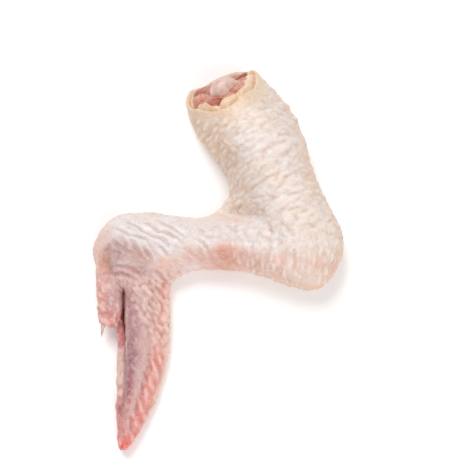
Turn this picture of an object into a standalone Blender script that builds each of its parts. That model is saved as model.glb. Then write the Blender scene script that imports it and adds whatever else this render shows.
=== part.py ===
"""A whole raw chicken wing, lying on its underside: drumette, flat and tip in one skin.

The wing is drawn in plan, in millimetres, with the wrist joint at (0, 0). Ribs cross
it from the leading edge to the trailing edge, from the cut shoulder to the tip. Each
rib carries a closed section: over the top, whose height is that of the muscles and
joints below the skin, and back along the underside, which the soft meat presses flat.
The thumb and its claw are fused on at the wrist, and the upper arm bone is a second
solid that shows in the cut at the shoulder.
"""

import bmesh
import bpy
import numpy as np

MM = 0.001

# The plan's own origin is the wrist; this moves the wing's box onto the world's origin
WORLD_SHIFT = np.array([-36.04, 0.78])

# Skeleton, in plan
WRIST = np.array([0.0, 0.0])
FLAT_BONE = 75.0
FLAT_TURN = np.radians(-3.0)
ARM_BONE = 74.0
ARM_TURN = np.radians(118.0)


def direction(angle):
    return np.array([np.cos(angle), np.sin(angle)])


ELBOW = WRIST + FLAT_BONE * direction(FLAT_TURN)
SHOULDER = ELBOW + ARM_BONE * direction(ARM_TURN)

# Ribs: leading edge (x, y, height of the edge) and trailing edge (x, y, height)
RIBS = {
    "shoulder cut": ((22.0, 61.0, 10.0), (50.5, 76.5, 10.0)),
    "upper arm": ((27.8, 46.8, 7.0), (67.0, 55.6, 10.0)),
    "lower arm": ((38.0, 34.0, 4.6), (74.8, 29.5, 9.0)),
    "outside elbow": ((40.0, 22.5, 4.6), (86.0, 0.5, 7.5)),
    "below elbow": ((33.0, 15.2, 5.0), (77.5, -14.6, 6.5)),
    "middle of flat": ((18.0, 14.6, 6.0), (47.5, -8.6, 5.8)),
    "end of flat": ((5.0, 15.6, 7.5), (27.0, -7.8, 5.2)),
    "top of wrist": ((-7.8, 12.2, 7.5), (19.6, -10.8, 4.8)),
    "corner of wrist": ((-14.0, 0.5, 6.8), (16.9, -14.4, 4.4)),
    "thumb root": ((-11.4, -9.5, 5.4), (16.6, -19.5, 4.0)),
    "under the thumb": ((-5.6, -18.0, 3.6), (16.9, -26.0, 3.6)),
    "upper hand": ((-4.5, -28.0, 3.2), (16.7, -35.0, 3.2)),
    "middle of hand": ((-3.7, -46.0, 3.0), (15.2, -48.0, 2.8)),
    "lower hand": ((-4.1, -61.0, 3.0), (10.9, -61.8, 2.6)),
    "last joint": ((-3.3, -70.6, 2.9), (5.8, -71.0, 2.5)),
    "end of fringe": ((-3.0, -75.2, 2.8), (2.7, -75.3, 2.5)),
    "fingertip": ((-2.6, -77.3, 2.8), (1.2, -77.2, 2.6)),
}

# Ridges of flesh under the skin, melted together
FLESH_POWER = 5.0
FLESH_FALL = 1.1
FLESH_ROUND = 3.6
MEMBRANE_TOP = 5.4
MEMBRANE_LIFT = 2.0
MEMBRANE_FLESH = (9.0, 5.6)
MEMBRANE_STARTS = (6.0, 15.0)
SLIT_SIDES = (-0.4, -1.8)
SLIT_STARTS = (-14.6, -18.0)
SLIT_SINK = 0.6

# Folds and scallops of the skin
FOLD_HEIGHT = 0.45
FLAT_FOLD = 6.2
HAND_FOLD = 4.2
ARM_FOLD = 7.5
LOBE_PITCH = 4.8
LOBE_DEPTH = 0.28
LOBE_START = (70.0, 84.0)
LOBE_STOP = (205.0, 192.0)

# Roundness of the sections: powers of 2 and a fullness of 1 are ellipses, more is squarer
TOP_POWER = 2.4
UNDER_POWER = 2.6

THUMB_FULLNESS = 1.35

# Mesh fineness
RIB_COUNT = 128
TOP_POINTS = 27
UNDER_POINTS = 13

# Cut at the shoulder
CUT_SLOPE = 0.75
CUT_HINGE = 7.0
CUT_FADE = 62.0
RAGGED_FADE = 16.0
SKIN_RIM = 1.0

# Upper arm bone
BONE_GAP = 0.3
BONE_SIDES = 16

SKIN_COLOUR = (0.86, 0.70, 0.64)
BONE_COLOUR = (0.88, 0.82, 0.76)


def clear_scene():
    for thing in list(bpy.data.objects):
        bpy.data.objects.remove(thing, do_unlink=True)


def through(places, values, at):
    """A smooth curve through the rows of values at the given places, read at others."""
    slopes = np.gradient(values, places, axis=0)
    i = np.clip(np.searchsorted(places, at, side="right") - 1, 0, len(places) - 2)
    step = (places[i + 1] - places[i])[:, None]
    t = (at[:, None] - places[i][:, None]) / step
    return (
        (2 * t**3 - 3 * t**2 + 1) * values[i]
        + (t**3 - 2 * t**2 + t) * step * slopes[i]
        + (3 * t**2 - 2 * t**3) * values[i + 1]
        + (t**3 - t**2) * step * slopes[i + 1]
    )


def smooth_step(low, high, value):
    t = np.clip((value - low) / (high - low), 0, 1)
    return t * t * (3 - 2 * t)


def ridge(x, y, line, reach, height):
    """Height over the table of a soft ridge along a line in plan.

    Each place looks up the nearest stretch of the line; the ridge falls off with a
    power of the distance over its reach there."""
    line = np.array(line, float)
    best = np.full(x.shape, np.inf)
    tall = np.zeros(x.shape)
    for k in range(len(line) - 1):
        a, run = line[k], line[k + 1] - line[k]
        t = np.clip(((x - a[0]) * run[0] + (y - a[1]) * run[1]) / (run @ run), 0, 1)
        away = np.hypot(x - a[0] - t * run[0], y - a[1] - t * run[1])
        wide = reach[k] + t * (reach[k + 1] - reach[k])
        near = away / wide
        closer = near < best
        best = np.where(closer, near, best)
        tall = np.where(closer, height[k] + t * (height[k + 1] - height[k]), tall)
    return tall * np.exp(-FLESH_FALL * best**FLESH_ROUND)


def along(a, b, *shares):
    return [a + s * (b - a) for s in shares]


def flesh(x, y):
    """Height of muscles and joints above the table: the ridges melted together."""
    outside = ELBOW + 2.5 * direction(ARM_TURN - np.pi / 2)
    arm = ridge(
        x,
        y,
        along(SHOULDER, outside, -0.2, 0.15, 0.4, 0.7, 1.0),
        (21.0, 22.0, 21.0, 18.5, 16.5),
        (29.0, 32.0, 30.0, 24.5, 21.0),
    )
    side = direction(FLAT_TURN + np.pi / 2)
    ulna = ridge(
        x,
        y,
        along(ELBOW - 4.0 * side, WRIST - 2.0 * side, 0.0, 0.25, 0.55, 0.85, 1.0),
        (14.0, 13.5, 11.5, 10.5, 10.0),
        (20.0, 19.5, 17.0, 14.8, 13.8),
    )
    radius = ridge(
        x,
        y,
        along(ELBOW + 6.0 * side, WRIST + 5.5 * side, 0.1, 0.3, 0.55, 0.85, 1.0),
        (11.0, 11.0, 10.5, 10.5, 10.5),
        (17.0, 17.5, 16.0, 14.2, 14.2),
    )
    hand = ridge(
        x,
        y,
        ((0.0, 0.0), (3.2, -12.0), (4.6, -26.0), (4.4, -44.0), (1.7, -62.0), (-0.1, -76.0),
         (-0.6, -80.0)),
        (12.0, 10.5, 7.8, 6.2, 3.8, 2.5, 2.2),
        (15.0, 13.4, 12.6, 11.4, 9.2, 6.8, 6.0),
    )
    slit = smooth_step(*SLIT_SIDES, x) * smooth_step(*SLIT_STARTS, y)
    hand = hand * (1 - SLIT_SINK * slit)
    strip = ridge(
        x,
        y,
        ((-2.4, -24.0), (-2.8, -34.0), (-2.8, -60.0), (-2.2, -72.0), (-1.6, -79.0)),
        (1.2, 2.2, 2.2, 1.9, 1.5),
        (6.0, 8.4, 7.4, 6.2, 5.2),
    )
    fringe = ridge(
        x,
        y,
        ((14.2, -14.0), (13.6, -30.0), (12.6, -44.0), (10.0, -54.0), (7.4, -62.0), (4.4, -70.0),
         (2.3, -77.0)),
        (5.0, 4.8, 4.2, 3.8, 3.7, 3.0, 2.0),
        (7.6, 7.6, 7.4, 7.0, 6.4, 5.4, 4.8),
    )
    knuckle = ridge(x, y, ((-4.0, 4.5), (-4.5, 0.5)), (12.0, 12.0), (14.5, 14.5))
    root = ridge(x, y, ((-5.0, -2.0), (-4.0, -8.0), (-2.6, -13.0)), (7.0, 5.0, 2.6), (12.6, 12.4, 12.0))
    web = np.full(x.shape, MEMBRANE_TOP)
    parts = np.stack([arm, ulna, radius, hand, strip, fringe, knuckle, root, web])
    return (parts**FLESH_POWER).sum(0) ** (1 / FLESH_POWER)


def wave(distance, length):
    return np.sin(2 * np.pi * distance / length)


def relief(x, y):
    """Height of the larger skin folds, laid over the flesh of flat, hand and drumette."""
    flat = smooth_step(0, 16, x) * smooth_step(82, 64, x) * smooth_step(18, 8, y)
    slant = 0.57 * x + 0.82 * y + 0.9 * wave(x, 31) + 0.6 * wave(y, 13)
    folds = flat * wave(slant, FLAT_FOLD) * (0.75 + 0.25 * wave(0.82 * x - 0.57 * y, 11))
    hand = smooth_step(-4, -16, y) * smooth_step(-2.5, 1, x)
    rows = hand * wave(0.87 * x + 0.5 * y, HAND_FOLD) * (0.7 + 0.3 * wave(0.5 * x - 0.87 * y, 5))
    down_arm = (x - SHOULDER[0]) * np.cos(ARM_TURN) + (y - SHOULDER[1]) * np.sin(ARM_TURN)
    arm = smooth_step(-64, -44, down_arm) * smooth_step(4, -14, down_arm)
    rings = arm * wave(down_arm + 1.4 * wave(x, 24), ARM_FOLD) * (0.6 + 0.4 * wave(x - y, 19))
    return FOLD_HEIGHT * (folds + 0.7 * rows + 0.6 * rings)


def rib_grid(count):
    """Leading and trailing edges at evenly spread ribs, and how far along each rib is.

    From the flat on, the trailing edge is scalloped where the quills sat in the skin."""
    lead = np.array([rib[0] for rib in RIBS.values()])
    trail = np.array([rib[1] for rib in RIBS.values()])
    moved = np.linalg.norm(np.diff(lead[:, :2], axis=0), axis=1)
    moved = (moved + np.linalg.norm(np.diff(trail[:, :2], axis=0), axis=1)) / 2
    places = np.concatenate([[0], np.cumsum(moved)])
    at = np.linspace(0, places[-1], count)
    lead = through(places, lead, at)
    trail = through(places, trail, at)
    across = trail[:, :2] - lead[:, :2]
    across /= np.linalg.norm(across, axis=1)[:, None]
    lobes = wave(at + 0.8 * wave(at, 17), LOBE_PITCH) * (0.7 + 0.3 * wave(at, 23))
    lobes *= smooth_step(*LOBE_START, at) * smooth_step(*LOBE_STOP, at)
    trail[:, :2] += LOBE_DEPTH * lobes[:, None] * across
    return lead, trail, at


def ragged(turn):
    """How far the skin has crept back from the cut, round the limb."""
    return 0.9 * np.sin(2 * turn + 0.6) + 0.5 * np.sin(5 * turn + 2.1) + 0.25 * np.sin(9 * turn)


def sections(lead, trail, at):
    """Points of every rib's closed section, as an array of ribs by points by x, y, z."""
    over = np.linspace(0, np.pi, TOP_POINTS)
    under = np.linspace(np.pi, 2 * np.pi, UNDER_POINTS + 2)[1:-1]
    turn = np.concatenate([over, under])[None, :]
    share = (1 - np.cos(turn)) / 2
    x = lead[:, :1] * (1 - share) + trail[:, :1] * share
    y = lead[:, 1:2] * (1 - share) + trail[:, 1:2] * share
    edge = lead[:, 2:] * (1 - share) + trail[:, 2:] * share
    away = np.abs(np.cos(turn))
    top = flesh(x, y)
    bottom = MEMBRANE_LIFT * smooth_step(*MEMBRANE_FLESH, top) * smooth_step(*MEMBRANE_STARTS, y)
    top = top + relief(x, y)
    round_top = (1 - away**TOP_POWER) ** (1 / TOP_POWER)
    round_under = (1 - away**UNDER_POWER) ** (1 / UNDER_POWER)
    z = np.where(
        turn <= np.pi,
        edge + (top - edge) * round_top,
        edge + (bottom - edge) * round_under,
    )
    # The cut at the shoulder leans back, and its skin has crept back unevenly
    lean = CUT_SLOPE * (1 - smooth_step(0, CUT_FADE, at))[:, None] * (z - CUT_HINGE)
    lean = lean + ragged(turn) * (1 - smooth_step(0, RAGGED_FADE, at))[:, None]
    arm = direction(ARM_TURN)
    return np.stack([x - arm[0] * lean, y - arm[1] * lean, z], axis=2)


def cap(rim, outward, steps):
    """Rings that close a section: each is the rim drawn in by a share and pushed out."""
    middle = rim.mean(0)
    rings = [middle + (rim - middle) * (1 - share) + outward * push for share, push in steps]
    return rings, middle + outward * steps[-1][1]


def solid_mesh(name, rings, start, end):
    """A closed mesh from rings of points, with a fan to a point at either end."""
    made = bmesh.new()
    loops = [[made.verts.new(point * MM) for point in ring] for ring in rings]
    first = made.verts.new(start * MM)
    last = made.verts.new(end * MM)
    sides = len(loops[0])
    for a, b in zip(loops, loops[1:]):
        for k in range(sides):
            n = (k + 1) % sides
            made.faces.new((a[k], a[n], b[n], b[k]))
    for k in range(sides):
        n = (k + 1) % sides
        made.faces.new((first, loops[0][n], loops[0][k]))
        made.faces.new((last, loops[-1][k], loops[-1][n]))
    bmesh.ops.recalc_face_normals(made, faces=made.faces)
    mesh = bpy.data.meshes.new(name)
    made.to_mesh(mesh)
    made.free()
    return mesh


def placed(points):
    """Plan millimetres moved onto the world's origin."""
    moved = np.array(points, float)
    moved[..., :2] += WORLD_SHIFT
    return moved


def new_object(name, mesh, material=None):
    thing = bpy.data.objects.new(name, mesh)
    bpy.context.scene.collection.objects.link(thing)
    if material:
        mesh.materials.append(material)
        mesh.shade_smooth()
    return thing


def wing_body(material):
    lead, trail, at = rib_grid(RIB_COUNT)
    body = sections(lead, trail, at)
    arm = direction(ARM_TURN)
    out_of_cut = np.array([arm[0], arm[1], CUT_SLOPE])
    out_of_cut /= np.linalg.norm(out_of_cut)
    steps = ((0.05, -SKIN_RIM), (0.13, 0.3), (0.35, 2.0), (0.7, 2.8))
    cut, cut_middle = cap(body[0], out_of_cut, steps)
    out_of_tip = np.array([0.0, -1.0, 0.0])
    tip, tip_end = cap(body[-1], out_of_tip, ((0.12, 0.7), (0.45, 1.4)))
    rings = [placed(ring) for ring in [*cut[::-1], *body, *tip]]
    mesh = solid_mesh("wing", rings, placed(cut_middle), placed(tip_end))
    return new_object("wing", mesh, material)


def tube_rings(line, wide, tall, sides, fullness):
    """Oval rings, wide in plan and tall in height, square to a line of points.

    A fullness of 1 is an ellipse, and more is squarer."""
    line = np.array(line, float)
    run = np.gradient(line, axis=0)
    run[:, 2] = 0
    run /= np.linalg.norm(run, axis=1)[:, None]
    side = np.stack([-run[:, 1], run[:, 0], np.zeros(len(run))], axis=1)
    turn = np.linspace(0, 2 * np.pi, sides, endpoint=False)
    level = np.sign(np.cos(turn)) * np.abs(np.cos(turn)) ** (1 / fullness)
    upright = np.sign(np.sin(turn)) * np.abs(np.sin(turn)) ** (1 / fullness)
    up = np.array([0.0, 0.0, 1.0])
    return [
        p + np.outer(level * w, s) + np.outer(upright * h, up)
        for p, s, w, h in zip(line, side, wide, tall)
    ]


def tube(name, line, wide, tall, sides, material=None, fullness=1.0):
    rings = [placed(ring) for ring in tube_rings(line, wide, tall, sides, fullness)]
    ends = placed([line[0], line[-1]])
    return new_object(name, solid_mesh(name, rings, ends[0], ends[1]), material)


def thumb():
    """The small finger at the wrist, lying along the hand's leading edge."""
    line = ((-4.6, 5.0, 7.6), (-6.6, -1.0, 7.6), (-7.3, -8.0, 7.8), (-7.0, -15.0, 7.8),
            (-6.6, -22.0, 7.4), (-6.7, -27.0, 7.0), (-7.0, -29.4, 6.8), (-7.1, -30.3, 6.8))
    wide = (2.5, 4.8, 5.2, 4.9, 4.5, 4.2, 3.8, 2.4)
    tall = (2.0, 4.2, 4.3, 3.9, 3.2, 2.6, 2.2, 1.2)
    return tube("thumb", line, wide, tall, 16, fullness=THUMB_FULLNESS)


def claw():
    line = ((-8.6, -26.5, 6.8), (-9.2, -29.5, 6.7), (-9.6, -32.0, 6.4), (-9.9, -34.6, 6.0))
    return tube("claw", line, (1.3, 1.0, 0.7, 0.3), (1.2, 0.9, 0.6, 0.3), 8)


def bone_line():
    arm = direction(ARM_TURN)
    head = SHOULDER + 8.5 * arm
    shares = (0.0, 0.02, 0.06, 0.12, 0.2, 0.3, 0.5, 0.7, 0.85, 0.95, 0.99)
    return [np.append(head + s * (ELBOW - head), 15.5 - 3.5 * s) for s in shares]


def arm_bone(name, spare, material=None):
    """The humerus: a broad head at the cut, a slim shaft and a low end at the elbow."""
    wide = np.array((2.4, 4.6, 6.4, 6.2, 4.6, 3.5, 3.1, 3.3, 4.4, 4.6, 2.6)) + spare
    tall = np.array((1.8, 3.6, 5.0, 4.8, 3.7, 3.0, 2.8, 2.9, 3.4, 3.4, 1.8)) + spare
    line = bone_line()
    if spare:
        step = (line[-1] - line[0]) / np.linalg.norm(line[-1] - line[0])
        line[0] = line[0] - step * spare
        line[-1] = line[-1] + step * spare
    return tube(name, line, wide, tall, BONE_SIDES, material)


def boolean(target, tool, operation):
    tool.hide_render = True
    tool.display_type = "WIRE"
    cut = target.modifiers.new(f"{operation.lower()} {tool.name}", "BOOLEAN")
    cut.object = tool
    cut.operation = operation
    cut.solver = "EXACT"


def principled(name, colour, roughness):
    material = bpy.data.materials.new(name)
    material.use_nodes = True
    shader = material.node_tree.nodes["Principled BSDF"]
    shader.inputs["Base Color"].default_value = (*colour, 1.0)
    shader.inputs["Roughness"].default_value = roughness
    shader.inputs["Metallic"].default_value = 0.0
    return material


def main():
    clear_scene()
    wing = wing_body(principled("skin", SKIN_COLOUR, 0.45))
    boolean(wing, thumb(), "UNION")
    boolean(wing, claw(), "UNION")
    boolean(wing, arm_bone("bone_hollow", BONE_GAP), "DIFFERENCE")
    arm_bone("arm_bone", 0.0, principled("bone", BONE_COLOUR, 0.35))


main()
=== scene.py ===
# %% [markdown]
# # A whole raw chicken wing
#
# The real thing is three bones in a row inside one loose sleeve of skin: the drumette
# (upper arm), the flat (forearm) and the tip (hand), with a small thumb at the wrist.
# It lies on its underside, folded at the elbow and the wrist, as a cook lays it on a
# board. It has the measures of the plain solids in the frame, so it lies over them.

import bpy
import numpy as np
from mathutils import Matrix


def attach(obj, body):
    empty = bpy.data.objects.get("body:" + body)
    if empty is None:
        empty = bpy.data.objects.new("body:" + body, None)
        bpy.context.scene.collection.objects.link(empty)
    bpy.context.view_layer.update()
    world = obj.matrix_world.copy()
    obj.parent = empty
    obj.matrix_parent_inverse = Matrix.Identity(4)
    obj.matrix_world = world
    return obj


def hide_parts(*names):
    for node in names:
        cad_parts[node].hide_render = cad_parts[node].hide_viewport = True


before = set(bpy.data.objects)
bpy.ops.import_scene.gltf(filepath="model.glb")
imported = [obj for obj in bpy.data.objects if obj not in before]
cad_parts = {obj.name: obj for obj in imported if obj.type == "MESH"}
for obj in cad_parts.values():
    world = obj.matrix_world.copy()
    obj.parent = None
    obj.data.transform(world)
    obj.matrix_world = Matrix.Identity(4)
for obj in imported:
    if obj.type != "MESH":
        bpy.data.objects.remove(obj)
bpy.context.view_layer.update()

# %% [markdown]
# ## Measures
#
# On a real wing the arm, the forearm and the hand are each 75 to 80 mm long. Sizes read
# off the solids would fit too, but nobody would see where they come from. So all is
# drawn in plan, in millimetres, with the wrist joint at (0, 0), x to the right and y up
# the picture, and one shift at the end moves it onto the frame.

# %% Bones in plan
MM = 0.001
WORLD_SHIFT = np.array([-36.04, 0.78])


def direction(angle):
    """The unit vector at an angle from the x axis."""
    return np.array([np.cos(angle), np.sin(angle)])


FLAT_TURN = np.radians(-3)
ARM_TURN = np.radians(118)
ARM = direction(ARM_TURN)
WRIST = np.array([0, 0])
ELBOW = WRIST + 75 * direction(FLAT_TURN)
SHOULDER = ELBOW + 74 * ARM
print("elbow at", ELBOW.round(1), "shoulder at", SHOULDER.round(1))

# %% [markdown]
# ## Soft steps and chance
#
# Flesh has no hard edges, and skin no two folds alike. Texture nodes could give both,
# but plain functions of arrays can be added and measured at every point. Soft steps and
# bells stand for what is planned, random hills and cushions for what isn't.

# %% Steps, bells and curves


def rise(low, high, value):
    """0 before low, 1 after high, and an S-shaped rise between them."""
    t = np.clip((value - low) / (high - low), 0, 1)
    return t * t * (3 - 2 * t)


def between(value, start, full, last, gone):
    """A soft step up from start to full, times a soft step down from last to gone."""
    return rise(start, full, value) * rise(gone, last, value)


def bell(value, width):
    """exp(-(value / width) squared): 1 in the middle, a third at the width."""
    return np.exp(-((value / width) ** 2))


def wave(distance, length):
    """A sine that repeats every length."""
    return np.sin(2 * np.pi * distance / length)


def by_stops(value, stops):
    """Straight lines between stops, each a place and the number there."""
    return np.interp(value, *zip(*stops))


def through(places, values, at):
    """A curve through rows of values: each stretch is the cubic with the slopes of its ends."""
    slopes = np.gradient(values, places, axis=0)
    i = np.clip(np.searchsorted(places, at, side="right") - 1, 0, len(places) - 2)
    step = (places[i + 1] - places[i])[:, None]
    t = (at[:, None] - places[i][:, None]) / step
    return (
        (2 * t**3 - 3 * t**2 + 1) * values[i]
        + (t**3 - 2 * t**2 + t) * step * slopes[i]
        + (3 * t**2 - 2 * t**3) * values[i + 1]
        + (t**3 - t**2) * step * slopes[i + 1]
    )


print("a quarter of its way up a soft step is at", rise(0, 1, 0.25))

# %% Random hills and cushions
LATTICE_SIDE = 24
LATTICE = np.random.default_rng(11).uniform(-1, 1, (LATTICE_SIDE,) * 3)


def lumps(points, size, shift=0):
    """Smooth random hills about size across: random numbers at the corners of a lattice,
    and between them the S-shaped blend of the eight corners around each point."""
    q = points / size + shift
    base = np.floor(q).astype(int)
    f = q - base
    f = f * f * (3 - 2 * f)
    total = np.zeros(len(points))
    for corner in np.ndindex(2, 2, 2):
        share = np.prod(np.where(corner, f, 1 - f), axis=1)
        i = (base + corner) % LATTICE_SIDE
        total += share * LATTICE[i[:, 0], i[:, 1], i[:, 2]]
    return total


def cushions(places, crease):
    """Skin is a pavement of small cushions. A seed is scattered in each unit cube; with
    the distances to the nearest and the next seed, the height is
    (1 - nearest squared) (1 - exp(-(next - nearest) / crease))."""
    home = np.floor(places).astype(int)
    nearest_seed = np.full(len(places), 9.0)
    next_seed = nearest_seed.copy()
    for step in np.ndindex(3, 3, 3):
        cube = home + np.array(step) - 1
        i, j, k = (cube % LATTICE_SIDE).T
        scatter = np.column_stack([LATTICE[i, j, k], LATTICE[j, k, i], LATTICE[k, i, j]])
        away = np.linalg.norm(places - cube - 0.5 - 0.4 * scatter, axis=1)
        next_seed = np.minimum(next_seed, np.maximum(nearest_seed, away))
        nearest_seed = np.minimum(nearest_seed, away)
    return np.clip(1 - nearest_seed**2, 0, 1) * (1 - np.exp(-(next_seed - nearest_seed) / crease))


print("random numbers in the lattice:", LATTICE.size)

# %% [markdown]
# ## The flesh under the skin
#
# A wing's surface swells over each muscle and joint and sinks between them. Sculpting by
# hand would give that, but nothing in it could be measured. So each muscle is a ridge,
# full height along its bone and falling away to the sides. A high power mean melts the
# ridges together: it takes the tallest and rounds the place where two meet, as skin does.

# %% Distance to a line, and a ridge along it


def to_stretch(x, y, start, end):
    """For each point: its share of the way from start to end, and its distance away."""
    run = end - start
    t = np.clip(((x - start[0]) * run[0] + (y - start[1]) * run[1]) / (run @ run), 0, 1)
    return t, np.hypot(x - start[0] - t * run[0], y - start[1] - t * run[1])


def nearest(x, y, line):
    """For each point: distance to a line of points, plus on its right-hand side and minus
    on its left, and how far along it (0, 1, 2 ...)."""
    line = np.array(line, float)
    away = np.full(x.shape, np.inf)
    place = np.zeros(x.shape)
    side = np.ones(x.shape)
    for k in range(len(line) - 1):
        a, run = line[k], line[k + 1] - line[k]
        t, d = to_stretch(x, y, a, line[k + 1])
        closer = d < away
        place = np.where(closer, k + t, place)
        side = np.where(closer, np.sign(run[1] * (x - a[0]) - run[0] * (y - a[1])), side)
        away = np.minimum(away, d)
    return away * side, place


def ridge(x, y, rows):
    """Rows hold x, y, reach and height. The ridge is height times
    exp(-1.1 (distance / reach)^3.6), read where distance / reach is least."""
    rows = np.array(rows, float)
    best = np.full(x.shape, np.inf)
    tall = np.zeros(x.shape)
    for here, there in zip(rows, rows[1:]):
        t, away = to_stretch(x, y, here[:2], there[:2])
        near = away / (here[2] + t * (there[2] - here[2]))
        closer = near < best
        best = np.where(closer, near, best)
        tall = np.where(closer, here[3] + t * (there[3] - here[3]), tall)
    return tall * np.exp(-1.1 * best**3.6)


trial = ridge(np.array([5]), np.array([0]), ((0, -9, 5, 10), (0, 9, 5, 10)))
print("a ridge 10 high still has", trial.round(1), "left at its reach")

# %% Muscles and joints
HAND = (
    # x, y, reach, height
    (0, 0, 12, 15), (3.2, -12, 10.5, 13.4), (4.6, -26, 7.8, 12.6), (4.4, -44, 6.2, 11.4),
    (1.7, -62, 3.8, 9.2), (-0.1, -76, 2.5, 6.8), (-0.6, -80, 2.2, 6),
)
STRIP = (
    # the narrow strip of skin along the leading edge of the hand
    (-2.4, -24, 1.2, 6), (-2.8, -34, 2.2, 8.4), (-2.8, -60, 2.2, 7.4), (-2.2, -72, 1.9, 6.2),
    (-1.6, -79, 1.5, 5.2),
)
FRINGE = (
    # the fat pad along the trailing edge, where the great quills stood
    (14.2, -14, 5, 7.6), (13.6, -30, 4.8, 7.6), (12.6, -44, 4.2, 7.4), (10, -54, 3.8, 7),
    (7.4, -62, 3.7, 6.4), (4.4, -70, 3, 5.4), (2.3, -77, 2, 4.8),
)
KNUCKLE = ((-4, 4.5, 12, 14.5), (-4.5, 0.5, 12, 14.5))
THUMB_ROOT = ((-5, -2, 7, 12.6), (-4, -8, 5, 12.4), (-2.6, -13, 2.6, 12))
WEB_HEIGHT = 5.4
print("ridges follow", len(HAND), "places down the hand and", len(FRINGE), "down its fat pad")

# %% All the flesh together


def along(a, b, rows):
    """Rows for a ridge from a to b, given as share of the way, reach and height."""
    return [(*(a + share * (b - a)), reach, height) for share, reach, height in rows]


def flesh(x, y):
    """Height of muscles and joints over the floor: fifth-power mean of all the ridges and
    the web between them. The hand is sunk by 0.6 in the slit beside the thumb."""
    side = direction(FLAT_TURN + np.pi / 2)
    outside = ELBOW + 2.5 * direction(ARM_TURN - np.pi / 2)
    arm = along(SHOULDER, outside, (
        (-0.2, 21, 29), (0.15, 22, 32), (0.4, 21, 30), (0.7, 18.5, 24.5), (1, 16.5, 21),
    ))
    ulna = along(ELBOW - 4 * side, WRIST - 2 * side, (
        (0, 14, 20), (0.25, 13.5, 19.5), (0.55, 11.5, 17), (0.85, 10.5, 14.8), (1, 10, 13.8),
    ))
    radius = along(ELBOW + 6 * side, WRIST + 5.5 * side, (
        (0.1, 11, 17), (0.3, 11, 17.5), (0.55, 10.5, 16), (0.85, 10.5, 14.2), (1, 10.5, 14.2),
    ))
    slit = rise(-0.3, -1.5, x) * rise(-15.2, -18.6, y)
    hand = ridge(x, y, HAND) * (1 - 0.6 * slit)
    others = [ridge(x, y, rows) for rows in (arm, ulna, radius, STRIP, FRINGE, KNUCKLE, THUMB_ROOT)]
    parts = np.stack([hand, np.full(x.shape, WEB_HEIGHT), *others])
    return (parts**5).sum(0) ** 0.2


print("flesh over the wrist joint:", flesh(np.zeros(1), np.zeros(1)).round(1), "mm")

# %% [markdown]
# ## The sleeve of skin
#
# On a real wing one sleeve of skin covers everything. Metaballs could give such a form,
# but they don't keep to measures. Here ribs cross the wing from its leading edge to its
# trailing edge, from the shoulder cut to the fingertip, each one a closed section, as a
# boat's hull is drawn. So the outline and the thickness can be set apart.

# %% Ribs across the wing
RIBS = np.array([
    # leading edge x, y, height; trailing edge x, y, height
    (22, 61, 10, 50.5, 76.5, 10),
    (27.8, 46.8, 7, 67, 55.6, 10),
    (38, 34, 4.6, 74.8, 29.5, 9),
    (40, 22.5, 4.6, 86, 0.5, 7.5),
    (33, 15.2, 5, 77.5, -14.6, 6.5),
    (18, 14.6, 6, 47.5, -8.6, 5.8),
    (5, 15.6, 7.5, 27, -7.8, 5.2),
    (-7.8, 12.2, 7.5, 19.6, -10.8, 4.8),
    (-14, 0.5, 6.8, 16.9, -14.4, 4.4),
    (-11.4, -9.5, 5.4, 16.6, -19.5, 4),
    (-5.6, -18, 3.6, 16.9, -26, 3.6),
    (-4.5, -28, 3.2, 16.7, -35, 3.2),
    (-3.7, -46, 3, 15.2, -48, 2.8),
    (-4.1, -61, 3, 10.9, -61.8, 2.6),
    (-3.3, -70.6, 2.9, 5.8, -71, 2.5),
    (-3, -75.2, 2.8, 2.7, -75.3, 2.5),
    (-2.6, -77.3, 2.8, 1.2, -77.2, 2.6),
])


def rib_ends(count):
    """Both ends of evenly spread ribs, and each rib's place along the wing. Between the
    elbow and the tip the trailing edge swings in and out by up to 0.28 mm."""
    lead, trail = RIBS[:, :3], RIBS[:, 3:]
    moved = np.linalg.norm(np.diff(lead[:, :2], axis=0), axis=1)
    moved = (moved + np.linalg.norm(np.diff(trail[:, :2], axis=0), axis=1)) / 2
    places = np.concatenate([[0], np.cumsum(moved)])
    at = np.linspace(0, places[-1], count)
    lead = through(places, lead, at)
    trail = through(places, trail, at)
    across = trail[:, :2] - lead[:, :2]
    across /= np.linalg.norm(across, axis=1)[:, None]
    swing = wave(at + 0.8 * wave(at, 17), 4.8) * (0.7 + 0.3 * wave(at, 23)) * between(at, 70, 84, 192, 205)
    trail[:, :2] += 0.28 * swing[:, None] * across
    return lead, trail, at


print("length of the sleeve along its middle:", rib_ends(2)[2][-1].round(), "mm")

# %% Closed sections on the ribs
CUT_SLOPE = 0.75
CUT_LEVEL = 7
CUT_REACH = 62
RAGGED_REACH = 16
TOP_POWER = 2.4
UNDER_POWER = 2.6


def ragged(turn):
    """How far the skin has crept back from the cut, round the limb: three sines."""
    return 0.9 * np.sin(2 * turn + 0.6) + 0.5 * np.sin(5 * turn + 2.1) + 0.25 * np.sin(9 * turn)


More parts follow.
